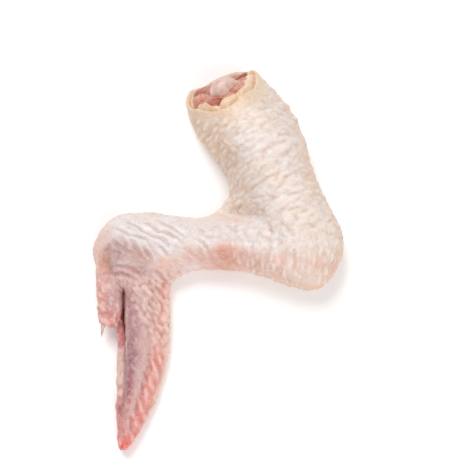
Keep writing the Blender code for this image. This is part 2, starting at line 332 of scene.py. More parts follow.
def sections(count, over, under):
    """Every rib's closed loop. Along a loop the share from lead to trail is
    (1 - cos turn) / 2; the top is edge + (flesh - edge) (1 - |cos|^power)^(1/power), and
    the underside goes down in the same way, to the floor or to 2 mm over it under the
    web. Near the cut the loops lean into its slanted plane and follow its ragged edge."""
    lead, trail, at = rib_ends(count)
    turn = np.concatenate([
        np.linspace(0, np.pi, over),
        np.linspace(np.pi, 2 * np.pi, under + 2)[1:-1],
    ])[None, :]
    share = (1 - np.cos(turn)) / 2
    x, y, edge = lead.T[:, :, None] * (1 - share) + trail.T[:, :, None] * share
    away = np.abs(np.cos(turn))
    top = flesh(x, y)
    bottom = 2 * rise(9, 5.6, top) * rise(6, 15, y)
    z = np.where(
        turn <= np.pi,
        edge + (top - edge) * (1 - away**TOP_POWER) ** (1 / TOP_POWER),
        edge + (bottom - edge) * (1 - away**UNDER_POWER) ** (1 / UNDER_POWER),
    )
    lean = CUT_SLOPE * (1 - rise(0, CUT_REACH, at))[:, None] * (z - CUT_LEVEL)
    lean = lean + ragged(turn) * (1 - rise(0, RAGGED_REACH, at))[:, None]
    return np.stack([x - ARM[0] * lean, y - ARM[1] * lean, z], axis=2)


body = sections(count=420, over=110, under=60)
print("sections:", body.shape[0], "with", body.shape[1], "points each")

# %% Turning rings of points into a mesh


def placed(points):
    """Plan millimetres to metres in the frame."""
    moved = np.array(points, float)
    moved[..., :2] += WORLD_SHIFT
    return moved * MM


def new_object(name, data):
    """An object at the origin, put into the scene."""
    made = bpy.data.objects.new(name, data)
    bpy.context.scene.collection.objects.link(made)
    return made


def ring_piece(name, rings, ends):
    """A smooth piece: quads between neighbouring rings, and a fan to each end point."""
    rings = np.array(rings)
    count, sides = rings.shape[:2]
    points = np.concatenate([rings.reshape(-1, 3), np.array(ends)])
    k = np.arange(count * sides).reshape(count, sides)
    after = np.roll(k, -1, axis=1)
    quads = np.stack([k[:-1], k[1:], after[1:], after[:-1]], axis=-1).reshape(-1, 4)
    first = np.stack([np.full(sides, count * sides), k[0], after[0]], axis=-1)
    last = np.stack([np.full(sides, count * sides + 1), after[-1], k[-1]], axis=-1)
    mesh = bpy.data.meshes.new(name)
    mesh.from_pydata(placed(points).tolist(), [], quads.tolist() + first.tolist() + last.tolist())
    mesh.shade_smooth()
    print(name, "starts with", len(mesh.polygons), "faces")
    return new_object(name, mesh)


print("the wrist joint lies at", placed([[0, 0, 0]])[0].round(4), "m in the frame")

# %% Tubes, and rings drawn in


def tube(name, rows, sides, rings, fullness=1):
    """A piece of ovals square to a line. Rows hold x, y, z, half width and half height.
    Cosine and sine are raised to 1 / fullness: 1 is an ellipse, and more is squarer."""
    rows = np.array(rows, float)
    places = np.concatenate([[0], np.cumsum(np.linalg.norm(np.diff(rows[:, :3], axis=0), axis=1))])
    rows = through(places, rows, np.linspace(0, places[-1], rings))
    run = np.gradient(rows[:, :2], axis=0)
    run /= np.linalg.norm(run, axis=1)[:, None]
    turn = np.linspace(0, 2 * np.pi, sides, endpoint=False)
    oval = np.array([np.cos(turn), np.sin(turn)])
    level, upright = np.sign(oval) * np.abs(oval) ** (1 / fullness)
    out = rows[:, 3:4] * level
    x = rows[:, :1] - run[:, 1:] * out
    y = rows[:, 1:2] + run[:, :1] * out
    z = rows[:, 2:3] + rows[:, 4:5] * upright
    return ring_piece(name, np.stack([x, y, z], axis=2), (rows[0, :3], rows[-1, :3]))


def drawn_in(rim, share, push, outward):
    """A ring pulled towards its middle by a share and pushed outwards."""
    middle = rim.mean(0)
    return middle + (rim - middle) * (1 - share) + outward * push


print("the rim of the cut has", len(body[0]), "points")

# %% Sleeve and thumb
LIP = (
    # share drawn in, push outwards: the skin's cut edge rolls over into the cut
    (0.5, -4), (0.16, -4), (0.12, -2.4), (0.105, -0.6), (0.08, 0.5), (0.03, 0.6), (0.005, 0.3),
)
TIP = ((0.04, 0.4), (0.12, 0.8), (0.3, 1.25), (0.6, 1.5))
THUMB = (
    # x, y, z, half width, half height
    (-4.6, 5, 7.6, 2.5, 2), (-6.6, -1, 7.6, 4.8, 4.2), (-7.3, -8, 7.8, 5.2, 4.3),
    (-7, -15, 7.8, 5.1, 3.9), (-6.6, -22, 7.4, 4.8, 3.2), (-6.7, -27, 7, 4.4, 2.6),
    (-7, -29.4, 6.8, 3.8, 2.2), (-7.1, -30.3, 6.8, 2.4, 1.2),
)
out_of_cut = np.array([ARM[0], ARM[1], CUT_SLOPE])
out_of_cut /= np.linalg.norm(out_of_cut)
down_tip = np.array([0, -1, 0])
cut_rim = body[0]
cut_middle = cut_rim.mean(0)
lip = [drawn_in(cut_rim, share, push, out_of_cut) for share, push in LIP]
tip = [drawn_in(body[-1], share, push, down_tip) for share, push in TIP]
sleeve = np.concatenate([lip, body, tip])
wing = ring_piece("wing_skin", sleeve, (cut_middle - 4 * out_of_cut, tip[-1].mean(0)))
thumb = tube("thumb", THUMB, sides=56, rings=90, fullness=1.35)

# %% [markdown]
# ## One skin over both
#
# On the real wing the thumb grows out of the wrist with no seam, and a Boolean union
# would leave one. So the two meshes are joined, wrapped anew by a voxel remesh and
# rubbed smooth, as a potter does with a handle on a jug.

# %% Wrap and smooth
SKIN_GRAIN = 0.5 * MM


def points_of(mesh):
    """The mesh's points as rows of x, y and z."""
    flat = np.zeros(len(mesh.vertices) * 3)
    mesh.vertices.foreach_get("co", flat)
    return flat.reshape(-1, 3)


def join(target, other):
    """Puts the other object's faces into the target's mesh and removes the other."""
    points = np.concatenate([points_of(target.data), points_of(other.data)])
    count = len(target.data.vertices)
    faces = [tuple(p.vertices) for p in target.data.polygons]
    faces += [tuple(v + count for v in p.vertices) for p in other.data.polygons]
    target.data = bpy.data.meshes.new(target.name)
    target.data.from_pydata(points.tolist(), [], faces)
    bpy.data.objects.remove(other)


def settle(piece):
    """Replaces the piece's mesh by what its modifiers make of it."""
    made = bpy.data.meshes.new_from_object(piece.evaluated_get(bpy.context.evaluated_depsgraph_get()))
    piece.modifiers.clear()
    piece.data = made
    made.shade_smooth()


join(wing, thumb)
wrap = wing.modifiers.new("wrap", "REMESH")
wrap.mode = "VOXEL"
wrap.voxel_size = SKIN_GRAIN
rub = wing.modifiers.new("rub", "SMOOTH")
rub.factor = 0.5
rub.iterations = 4
settle(wing)
print("wrapped skin:", 2 * len(wing.data.polygons), "triangles")

# %% [markdown]
# ## Where each point is on the wing
#
# Folds, feather follicles and colours all follow the anatomy. They could be painted on an
# unwrapped map, but a painted map knows nothing of the form. So each point first learns
# which part it belongs to, and how near the fringe of quill sockets and the cut it lies.

# %% Regions
p = points_of(wing.data) / MM
p[:, :2] -= WORLD_SHIFT
count = len(p)
normals = np.zeros(count * 3)
wing.data.vertex_normals.foreach_get("vector", normals)
normals = normals.reshape(-1, 3)
x, y, z = p.T
depth = -y
facing_up = rise(-0.35, 0.35, normals[:, 2])

down_arm = (p[:, :2] - SHOULDER) @ ARM
above_flat = y - np.tan(FLAT_TURN) * x
off_cut = (cut_middle - p) @ out_of_cut
from_thumb, _ = nearest(x, y, np.array(THUMB)[:, :2])
on_thumb = rise(5.8, 4.8, np.abs(from_thumb)) * rise(3.4, 5, z)
on_thumb *= rise(-0.8, -1.8, x) * rise(6, 15, depth)
on_hand = rise(4, 15, depth) * rise(26, 20, x) * (1 - on_thumb)
on_arm = rise(13, 24, above_flat + 0.25 * (x - 30))
near_elbow = rise(30, 52, x) * (1 - on_arm)
print("hand", int(on_hand.sum()), "elbow", int(near_elbow.sum()), "arm", int(on_arm.sum()), "points")

# %% Random fields over the skin
soft = lumps(p, 9)
soft_b = lumps(p, 5, 3.3)
fine = lumps(p, 2.4, 7.7)
finest = lumps(p, 1.3, 1.9)
blur = 0.5 * lumps(p, 7, 2.2) + 0.3 * lumps(p, 3, 4.4)
patchy = blur + 0.35 * lumps(p, 14, 8.8)
blotch = rise(-0.7, 0.8, lumps(p, 3.2, 9.1) + 0.6 * lumps(p, 1.6, 5.5))
wander = p + 0.9 * np.column_stack([soft, soft_b, soft])


def drawn_out(degrees, length, width):
    """Places for a pattern drawn out to a length along an angle in plan, and up and down,
    but only to a width across it."""
    way = direction(np.radians(degrees))
    u, v = wander[:, :2] @ way, wander[:, 1] * way[0] - wander[:, 0] * way[1]
    return np.column_stack([u / length, v / width, wander[:, 2] / length])


def spot(across, up, half_wide, half_tall, ragged_by=0.3):
    """A soft oval in plan, the bell of hypot(dx / half_wide, dy / half_tall), made ragged."""
    return bell(np.hypot((x - across) / half_wide, (y - up) / half_tall) + ragged_by * blur, 1)


print("fields over", count, "points")

# %% [markdown]
# ## Fringe and strip of the hand
#
# The great quills stood in a fat pad along the hand's trailing edge, which reaches over
# the hand in slanting tongues. A wave would make them all alike, so a list gives the
# depth at which each tongue starts, and a saw-tooth moves the edge out and back.

# %% Tongues of the fringe
FRINGE_START = (
    # depth down the hand, x where the fringe starts
    (12, 13.4), (34, 12.6), (40, 11.4), (46, 9.7), (50, 8.4), (54, 7.1), (60, 5), (67, 2.5), (75, 0.9),
    (80, 0.2),
)
FRINGE_END = ((14, 16.8), (20, 16.7), (35, 16.7), (48, 15.2), (63, 11), (72, 6), (79, 1.7))
TONGUE_TOPS = (26, 32, 38.2, 43.8, 48.8, 53.5, 59, 66.3, 73, 82)
TONGUE_REACH = 3
TONGUE_SLANT = 0.7
fringe_start = by_stops(depth, FRINGE_START)
fringe_end = by_stops(depth, FRINGE_END)
tooth = depth - TONGUE_SLANT * (x - fringe_start) + soft_b
tooth = np.interp(tooth, TONGUE_TOPS, range(len(TONGUE_TOPS)))
tooth -= np.floor(tooth)
tongue_top = between(tooth, 0, 0.12, 0.5, 0.9)
reach = tooth * rise(1, 0.6, tooth) - 0.3
fringe_start += TONGUE_REACH * reach * between(depth, 31, 38, 72, 80)
over_edge = x - fringe_start - 0.3 * soft_b - 0.3 * fine
in_fringe = over_edge / (fringe_end - np.minimum(fringe_start, fringe_end - 1.5))
low_hand = rise(34, 46, depth)
on_fringe = on_hand * rise(-0.8, 1.2, over_edge)
on_strip = on_hand * rise(0.1, -1.3, x + 0.5 * soft_b + 0.3 * fine) * rise(25, 30, depth)
print("fringe:", int(on_fringe.sum()), "strip:", int(on_strip.sum()), "points")

# %% [markdown]
# ## Tile folds
#
# Loose skin on the flat lies in wavy folds like roof tiles, because the feathers lay that
# way. A wave texture would run them in step, so each fold is a line of its own: a broad
# cushion, a soft groove along the line and a low bank beyond it.

# %% A fold along a line


def tile_folds(lines, wide, height):
    """A fold along each line. With off the distance to the line's right-hand side, in
    units of wide, it is 0.4 bell(off + 1.6, 1.3) - 0.6 bell(off, 0.6) +
    0.55 bell(off - 1.4, 0.9), and it fades at both ends of the line."""
    total = np.zeros(count)
    for line in lines:
        line = np.array(line, float)
        low, high = line.min(0) - 5 * wide, line.max(0) + 5 * wide
        close = np.flatnonzero((p[:, :2] > low).all(1) & (p[:, :2] < high).all(1) & (facing_up > 0))
        line = through(np.arange(len(line)), line, np.linspace(0, len(line) - 1, 4 * len(line)))
        off, place = nearest(x[close] + 0.4 * soft_b[close], y[close] + 0.4 * fine[close], line)
        off = off / wide
        last = len(line) - 1
        fold = 0.4 * bell(off + 1.6, 1.3) - 0.6 * bell(off, 0.6) + 0.55 * bell(off - 1.4, 0.9)
        total[close] += fold * between(place, 0, 0.3 * last, 0.82 * last, last)
    return height * total * facing_up


def elbow_fold(step):
    """Towards the elbow the folds go on in the same slant, shorter and weaker."""
    along_flat = 28 + 5.2 * step + 1.3 * np.sin(2.1 * step)
    start = np.array([along_flat, 8.8 - 1.6 * np.cos(1.7 * step) - 0.3 * step])
    reach = 8 + 1.8 * np.sin(3.3 * step)
    return start + reach * np.array(((0, 0), (0.3, -0.16), (0.55, -0.42), (0.85, -0.6)))


print("a fold near the elbow starts at", elbow_fold(0)[0].round(1))

# %% Folds of flat, wrist and elbow
FLAT_FOLDS = (
    ((-5.6, 7.6), (-3.4, 6.7), (0.5, 4.6), (4.5, 3.5), (7.6, 2.6), (10.4, 1)),
    ((-1.4, 9.8), (1, 9.3), (3.9, 8.1), (7.3, 5.5), (10.1, 4.3), (14.1, 2.9), (16.4, 0), (17.6, -2.6)),
    ((5.6, 10.4), (7.8, 9.5), (10.1, 8.1), (12.9, 5.8), (15.7, 5.5), (18.3, 3.8), (21.4, 2.3), (23.7, -1.7)),
    ((12, 10.2), (14, 9.5), (16.8, 8.1), (19.1, 6.4), (21.8, 4.4), (24.6, 3.2)),
    ((27.6, 3.4), (29.3, 1.5), (31.4, -0.4), (32.8, -2.4)),
)
WRIST_FOLDS = (
    ((-5.8, 3), (-4, 1), (-2.2, -0.8), (-0.6, -1.6)),
    ((-2.6, 3), (-0.8, 1), (0.4, -1.2), (1.2, -3.8)),
    ((0, 4), (2, 2.6), (3.6, 0.4), (5, -2.4), (6.6, -5.4)),
    ((-5.2, 1.7), (-2.5, -0.5), (0.5, -2.3), (3.6, -3.2)),
    ((6.2, 0.2), (8, -2), (9.6, -3.8), (10.6, -6)),
    ((8, 1.6), (9.8, -0.6), (11.6, -3.4), (13.2, -6.4)),
    ((-7, -8.2), (-3.4, -7.9), (0.7, -8.3), (3.4, -9.6), (5.6, -11.4)),
    ((-5.2, -11), (-2, -10.8), (1.4, -11.6), (4.2, -13.2)),
    ((2, -14.4), (4.3, -15.6), (6.5, -15), (8.2, -14.2)),
    ((8, -15), (9.4, -16.4), (11.4, -16.6)),
    ((10.8, -8), (13, -10.6), (15.2, -12.4)),
    ((12.6, 0.6), (14.8, -1.4), (16.6, -4.2)),
)
ELBOW_FOLDS = (
    ((58, 12), (66, 13.5), (73, 12)),
    ((52, 15.5), (60, 18.5), (68, 19)),
    ((46, 20), (53, 23.5), (60, 25.5)),
    ((66, 6), (74, 6.5), (81, 4)),
    *(elbow_fold(step) for step in range(7)),
)
folds = tile_folds(FLAT_FOLDS, wide=0.82, height=1)
folds += tile_folds(WRIST_FOLDS, wide=0.85, height=0.78)
folds += tile_folds(ELBOW_FOLDS, wide=1.5, height=0.4)
print("folds on flat, wrist and elbow:", len(FLAT_FOLDS), len(WRIST_FOLDS), len(ELBOW_FOLDS))

# %% [markdown]
# ## Quill sockets
#
# On the hand the feathers' sockets stand in slanting rows of long soft lobes. Meshes set
# on the skin would look stuck on, so each lobe is a bump in the skin's own height, laid
# in rows and moved a little by chance.

# %% Rows of lobes


def lobes(places, turns, half_length, half_width):
    """Long soft bumps: (1 - (u / half length)^2 - (v / half width)^2)^0.7 with u along the
    lobe's own turn and v across it, the lower end a little fuller than the upper."""
    total = np.zeros(count)
    for (a, b), turn in zip(places, turns):
        close = np.flatnonzero((np.abs(x - a) < half_length) & (np.abs(y - b) < half_length))
        dx = x[close] - a + 0.35 * fine[close]
        dy = y[close] - b
        u = (dx * np.cos(turn) + dy * np.sin(turn)) / half_length
        v = (dx * np.sin(turn) - dy * np.cos(turn)) / half_width
        bump = np.clip(1 - u**2 - v**2, 0, 1) ** 0.7 * (0.8 + 0.3 * u)
        total[close] = np.maximum(total[close], bump)
    return total * facing_up


draw = np.random.default_rng(7)
ROW_WAY = direction(np.radians(-60))
ROW_SIDE = direction(np.radians(30))
back_spots, back_turns = [], []
for row in range(-3, 10):
    # Rows of sockets slant down the back of the hand, each bead half a step off its neighbour
    for bead in range(15):
        step = 3.7 * (bead + 0.5 * (row % 2))
        place = np.array([3, -9]) + 2 * row * ROW_SIDE + step * ROW_WAY
        back_spots.append(place + draw.uniform(-0.6, 0.6, 2))
        back_turns.append(np.radians(-62 + draw.uniform(-12, 12)))
fringe_spots, fringe_turns = [], []
for out, start in ((0.4, 31.5), (2.3, 34), (4.2, 31)):
    # Three rows run down the fringe, at these distances from its edge
    for bead in range(10):
        down = start + 4.8 * bead + draw.uniform(-1.3, 1.3)
        inner = by_stops(down, FRINGE_START)
        fringe_spots.append((inner + out - 0.06 * bead + draw.uniform(-0.6, 0.6), -down))
        fringe_turns.append(np.radians(-72 - 0.6 * bead + draw.uniform(-10, 10)))
print("sockets on the back of the hand:", len(back_spots), "in the fringe:", len(fringe_spots))

# %% Heights of sockets, dashes and knobs
off_strip = on_hand * (1 - on_strip)
back_lobes = lobes(back_spots, back_turns, half_length=2.5, half_width=1.05)
back_lobes *= 0.3 + 0.7 * rise(2, 6.5, x - 0.25 * (y + 27))
fringe_lobes = lobes(fringe_spots, fringe_turns, half_length=3.4, half_width=1.15)
quills = off_strip * np.maximum(
    fringe_lobes * on_fringe * low_hand * rise(1.05, 0.7, in_fringe) * (0.7 + 0.5 * soft_b),
    back_lobes * (1 - 0.8 * low_hand * on_fringe),
)
dash_spots = np.array(back_spots) + draw.uniform(-1, 1, (len(back_spots), 2))
dash_turns = np.radians(draw.uniform(-75, -25, len(back_spots)))
dashes = lobes(dash_spots, dash_turns, half_length=1.5, half_width=0.6)
dashes *= off_strip * rise(0, 3, x) * (1 - 0.7 * on_fringe * low_hand)
knobs = np.zeros(count)
for step in range(7):
    # Shafts of the great quills push a row of knobs up through the back of the hand
    across = 3.4 + 0.8 * np.sin(1.9 * step) - 0.16 * max(step - 3, 0) ** 2
    knobs = np.maximum(knobs, on_hand * spot(across, -30.5 - 5.3 * step, 1.1, 2, ragged_by=0))
print("socketed share of the hand:", ((quills > 0.1).sum() / on_hand.sum()).round(2))

# %% Strip, slit, tongues, tip and thumb
strip_waves = on_strip * (0.5 * soft_b + 0.6 * fine)
strip_gutter = on_hand * between(depth, 29, 34, 38, 60) * bell(x + 0.6 - 0.8 * soft_b, 0.7)
slit_bank = on_hand * between(depth, 20, 26, 38, 46) * bell(x - 0.5 - 0.3 * soft_b, 0.6)
tongues = on_hand * low_hand * tongue_top * rise(79, 74, depth)
tongue_edge = tongues * bell(over_edge, 0.7)
tongue_back = tongues * bell(over_edge - 1.7, 1)
tip_notch = rise(75, 78.5, depth) * bell(x + 0.6, 0.5)
thumb_cells = cushions(drawn_out(-60, 4.2, 1.7), 0.7)
thumb_rows = on_thumb * (0.9 * thumb_cells + 0.9 * rise(23, 29, depth) * (fine + 0.6 * finest))
print("deepest edge of a tongue:", tongue_edge.max().round(2), "of its full depth")

# %% [markdown]
# ## Pavement of small cushions
#
# Between the big folds the skin is paved with small soft cushions, drawn out into fine
# ridges across the limb. A bump in the shader would be missing in the outline, so they
# are heights too, one kind for each part.

# %% Cushions on arm, elbow, flat and hand
ARM_WAY = np.degrees(ARM_TURN) - 90
ELBOW_WAY = 84
arm_cells = cushions(drawn_out(ARM_WAY, 6.5, 2.2), 0.45) + 0.3 * lumps(drawn_out(ARM_WAY, 4, 1.3), 1)
elbow_cells = cushions(drawn_out(ELBOW_WAY, 6, 1.9), 0.45) + 0.3 * lumps(drawn_out(ELBOW_WAY, 4, 1.2), 1)
flat_cells = cushions(drawn_out(-31, 4.4, 1.8), 0.7)
hand_cells = cushions(drawn_out(-60, 3.6, 1.5), 0.6)
on_flat = (1 - on_arm) * (1 - on_hand) * (1 - on_thumb)
pavement = 0.8 * on_arm * arm_cells + 0.5 * on_flat * (1 - near_elbow) * flat_cells
pavement += 0.75 * on_flat * near_elbow * elbow_cells
pavement += 0.28 * off_strip * (1 - low_hand * on_fringe) * hand_cells
arm_rings = on_arm * between(down_arm, -64, -44, -14, 4)
arm_rings *= wave(down_arm + 2.4 * wave(x, 24) + 1.5 * soft, 8.5) * (0.6 + 0.4 * wave(x - y, 19))
for name, cells in (("arm", arm_cells), ("elbow", elbow_cells), ("flat", flat_cells), ("hand", hand_cells)):
    print("cushions on the", name, "stand up to", cells.max().round(2))

# %% [markdown]
# ## Raising the skin
#
# Skin is stretched over its folds, so no edge in it is sharper than the skin is thick. A
# Displace modifier can't be asked how high it got. So the heights are added up here and
# evened out over each point's neighbours, and they move it along its normal: less where
# the skin rests, and never through the floor.

# %% Neighbours on the skin
ends_of_edges = np.zeros(len(wing.data.edges) * 2, int)
wing.data.edges.foreach_get("vertices", ends_of_edges)
one, other = ends_of_edges.reshape(-1, 2).T
neighbours = np.bincount(one, minlength=count) + np.bincount(other, minlength=count)


def evened(values, rounds):
    """Each point's value becomes the mean of its neighbours', again and again."""
    for _ in range(rounds):
        total = np.bincount(one, values[other], count) + np.bincount(other, values[one], count)
        values = total / neighbours
    return values


print("edges:", len(one), "mean neighbours:", neighbours.mean().round(1))

# %% Push the skin out
RELIEF = (
    # pattern, its height in millimetres
    (folds, 1), (quills, 0.75), (knobs, 0.3), (thumb_rows, 1.25), (pavement, 1), (dashes, 0.25),
    (tongue_edge, -0.42), (tongue_back, 0.35), (strip_waves, 0.6), (strip_gutter, -0.3),
    (slit_bank, 0.35), (tip_notch, -0.6), (arm_rings, 0.25), (fine, 0.12),
)
FLOOR_GAP = 0.02
raised = evened(sum(height * pattern for pattern, height in RELIEF), 1) + 0.05 * finest
raised *= 0.25 + 0.75 * rise(1, 5, off_cut)
sag = (0.5 * soft + 0.25 * soft_b) * 0.35 * rise(0.5, 4, z)
off_floor = (0.15 + 0.85 * rise(0, 1.2, z)) * np.where(normals[:, 2] < -0.6, 0.2, 1)
moved = p + normals * ((raised + sag) * off_floor)[:, None]
moved[:, 2] = np.maximum(moved[:, 2], FLOOR_GAP)
wing.data.vertices.foreach_set("co", placed(moved).ravel())
wing.data.update()
print("folds stand up to", raised.max().round(2), "mm proud")

# %% [markdown]
# ## Colour follows the blood and the fat
#
# Thick skin over the flat and the elbow is creamy white. It turns peach where it thins
# towards the trailing edge, mauve over the wrist and the hand, where bones and blood
# show through, and coral red at the fringe and the fingertip. A painted texture could
# hold all that too, but here each colour is a mask worked out from the regions, a number
# from 0 to 1 at every point, and the material mixes the colours.

# %% Crests for painted highlight, creases for painted shade
# The crest mask paints a highlight on every ridge that stands proud of its neighbours, and the crease mask
# paints shade into every hollow.
proud = raised - evened(raised, 14)
crease = rise(0, 0.24, -proud)
crest_highlight = rise(0, 0.22, proud) * (1 - 0.45 * spot(0.5, -4.5, 11, 8.5, ragged_by=0))
masks = {"crease": crease}


def strongest(*fields):
    """At each point the largest of the fields."""
    return np.maximum.reduce(fields)


print("creased share:", crease.mean().round(2))

# %% Peach of the lower flat, the outer wrist and the thumb's edge
ripple = rise(0.5, -0.5, lumps(drawn_out(-62, 6, 1.9), 1, 2.5))
lower_flat = above_flat + 3 * rise(33, 16, x) + 1.8 * blur + 1.6 * ripple
lower_flat -= 3.6 * bell(x - 38.5, 6.5) + 1.6 * bell(x - 25, 3.5)
lower_flat = 1.1 * rise(3.5, -3, lower_flat) * rise(4, 15, x)
lower_flat *= (1 + 0.15 * bell(x - 38.5, 6)) * (1 - 0.45 * rise(42, 60, x))
lower_flat *= 1 - 0.5 * rise(-4.5, -8, above_flat + 2 * blur) * (1 - bell(x - 39.5, 6))
lower_flat *= 1 - 0.3 * bell(x - 32.5, 3)
lower_flat *= 1 - 0.6 * bell(x - 25.5, 6) * rise(-1, -4.5, above_flat + blur)
outer_wrist = strongest(
    1.05 * spot(-9.6, -4.6, 3, 5.4) * (0.7 + 0.5 * blotch),
    0.42 * rise(-3, -9, x + 2 * blur) * between(y, -14, -8, 5, 13),
)
thumb_edge = on_thumb * rise(-6, -9, x + 1.5 * blur)
peach = lower_flat * (0.5 + 0.16 * blotch + 0.2 * patchy + 0.35 * ripple) + outer_wrist
masks["peach"] = peach + thumb_edge * (0.2 + 0.5 * blotch)
print("peach share:", peach.mean().round(3))

# %% Brown and tan, both painted shade, cream and fat
# Brown is painted shade: a band down the wrist's left slope, patches among the wrist's folds, and a patch by
# the flat's lower edge.
brown = strongest(
    0.66 * bell(x + 6.6 + 0.8 * soft_b, 2.6) * between(y, -15, -9, -2, 3),
    0.55 * spot(-3.8, 1, 3.4, 2.4),
    0.9 * spot(6.6, -3.8, 5.4, 3.2),
    0.85 * spot(0.4, -10.2, 5.2, 2.1),
)
brown *= (0.6 + 0.6 * blotch) * rise(13, 10, np.abs(x))
masks["brown"] = strongest(brown, 0.34 * spot(38.4, -5.2, 4.6, 4.6))
masks["cream"] = strongest(on_arm, rise(50, 66, x))
# Tan is painted warm shade: it grows where the skin of the arm, the elbow and the upper wrist turns from
# facing up to facing sideways and down.
sides = rise(0.85, 0.2, normals[:, 2] + 0.25 * patchy)
upper_wrist = 0.6 * rise(-2, -8, x) * rise(-2, 4, y)
masks["tan"] = (on_arm + near_elbow + upper_wrist) * sides * (0.5 + 0.3 * ripple)
web_edge = rise(0.5, 5, above_flat - 14) * rise(44, 34, x + 2 * blur) * rise(60, 50, y)
cut_fat = on_arm * rise(6, 0.5, off_cut + 4 * blur) * (0.6 + 0.5 * patchy)
masks["fat"] = strongest(cut_fat, 0.15 * web_edge)
print("tan share:", masks["tan"].mean().round(3), "fat share:", masks["fat"].mean().round(3))

# %% Mauve of wrist, hand and thumb
MAUVE_EDGE = ((12, 8.6), (28, 9), (36, 10.2), (44, 9.8), (52, 8.2), (60, 5.6), (67, 4.2), (73, 3))
MAUVE_STRENGTH = ((8, 0.3), (14, 0.45), (22, 0.85), (34, 1.05), (56, 1.05), (67, 0.75), (74, 0.3))
FINGER_BONE = ((20, 1.4), (34, 2.2), (45, 1.8), (60, 0.6), (72, 0))
wrist_grain = rise(-0.6, 0.6, lumps(drawn_out(-48, 5, 1.6), 1, 4.1))
wrist_core = np.hypot((x - 1 + 0.6 * (y + 4.8)) / 9, (y + 4.8) / 7.8) + 0.25 * blur
wrist_core = rise(1.3, 0.5, wrist_core) * (0.82 + 0.25 * wrist_grain)
mauve_wrist = strongest(0.85 * wrist_core, 0.65 * spot(-0.4, -10.4, 8, 5))
mauve_edge = by_stops(depth, MAUVE_EDGE)
streaks = rise(-0.1, 0.8, lumps(drawn_out(-78, 5, 1.1), 1, 5.2)) * rise(36, 48, depth)
mauve_hand = on_hand * rise(mauve_edge, mauve_edge - 6.5, x + 1.3 * blur)
mauve_hand *= by_stops(depth, MAUVE_STRENGTH) * (1 - 0.8 * on_strip) * (1 - 0.4 * streaks)
masks["mauve"] = strongest(
    mauve_wrist * (0.7 + 0.4 * blotch + 0.3 * patchy),
    mauve_hand * (0.8 + 0.3 * blotch),
    0.1 * on_hand * (0.3 + blotch) * (1 - on_fringe * low_hand),
    on_thumb * (1 - thumb_edge) * (0.35 + 0.35 * blotch),
)
over_bone = bell(x - by_stops(depth, FINGER_BONE), 2)
masks["dusk"] = on_hand * over_bone * between(depth, 26, 40, 58, 72) * (0.35 + 0.85 * blotch)
# Painted highlight: the crests, and the small dashes on the hand.
masks["crest_highlight"] = strongest(crest_highlight * (1 - 0.35 * mauve_hand), 0.85 * dashes)
print("mauve share:", masks["mauve"].mean().round(3))

# %% Pale rims of the hand
upper_rim = between(depth, 18, 26, 44, 52) * rise(14, 15.6, x + 0.5 * fine)
lower_rim = on_fringe * rise(0.74, 0.98, in_fringe + 0.12 * blur) * rise(76, 70, depth)
masks["pale"] = strongest(
    on_hand * strongest(0.7 * upper_rim, 0.75 * lower_rim),
    on_hand * 0.35 * slit_bank,
    0.4 * on_strip * between(depth, 38, 44, 55, 60),
)
print("pale share:", masks["pale"].mean().round(3))

# %% Coral of the fringe, red of strip and tip, and painted shade between sockets
CORAL_TIP = ((54, 0), (62, 0.22), (68, 0.3), (74, 0.55))
STRIP_RED = ((27, 1), (31, 1), (36, 0.75), (41, 0.1), (53, 0.08), (58, 0.4), (67, 0.5), (74, 0.35))
FINGER_SIDE = ((50, 2.7), (58, 2.2), (64, 0.6), (70, 0.2))
coral = strongest(
    on_fringe * (0.2 + 0.48 * rise(30, 46, depth) + 0.14 * rise(56, 70, depth) + 0.25 * patchy),
    on_hand * (0.16 + 0.2 * blotch) * rise(7, 12, x + 2 * blur) * rise(20, 36, depth),
    on_thumb * (0.6 * rise(20, 29, depth - 2 * fine) + 0.1 + 0.3 * blotch * thumb_edge),
    by_stops(depth, CORAL_TIP) * on_hand,
)
coral += 0.22 * low_hand * on_hand * bell(over_edge - 1, 1.4) * rise(0, 1, over_edge)
coral = strongest(coral, 0.4 * on_strip * rise(54, 62, depth))
masks["coral"] = coral * (1 - 0.8 * masks["pale"])
strip_line = on_hand * bell(x + 2.1 + 0.5 * soft_b, 0.9) * between(depth, 54, 60, 74, 78)
finger_side = on_hand * bell(x - by_stops(depth, FINGER_SIDE), 1.7) * between(depth, 48, 53, 69, 74)
masks["strip"] = strongest(
    on_strip * by_stops(depth + 1.5 * blur, STRIP_RED) * (0.75 + 0.5 * blotch),
    strip_line * (0.35 + 0.45 * blotch),
    finger_side * (0.25 + 0.06 * blotch),
)
masks["tip"] = on_hand * rise(72.5, 77, depth - 0.8 * blur) * rise(4.6, 1.2, x)
# Painted shade: a darker red between the socket lobes and in the grooves along the tongues' edges.
socket_gap_shade = 0.4 * on_fringe * low_hand * (1 - rise(0.1, 0.6, fringe_lobes))
masks["gap"] = 0.5 * strongest(socket_gap_shade, tongue_edge)
print("coral share:", masks["coral"].mean().round(3))

# %% Blood and painted shade in the slit, and the masks put on the points
# The slit beside the thumb and the strip's gutter are deep: their dark red is partly blood and partly
# painted shade.
SLIT_LINE = ((14, -1.2), (28, -1.2), (37, -0.6), (44, -0.4))
SLIT_BLOOD_AND_SHADE = ((15.4, 0), (17.4, 1), (31, 1), (35, 0.5), (40, 0))
blood_and_shade = bell(x - by_stops(depth, SLIT_LINE), 0.85) * by_stops(depth, SLIT_BLOOD_AND_SHADE)
blood_and_shade *= 1 - 0.75 * on_thumb * rise(8.6, 10, z)
bruise = 0.6 * on_hand * spot(-1.9, -62.5, 1, 1.8, ragged_by=0)
masks["blood_and_shade"] = strongest(blood_and_shade, 0.2 * strip_gutter * rise(42, 34, depth), bruise)
masks["hand"] = strongest(on_hand, on_thumb)


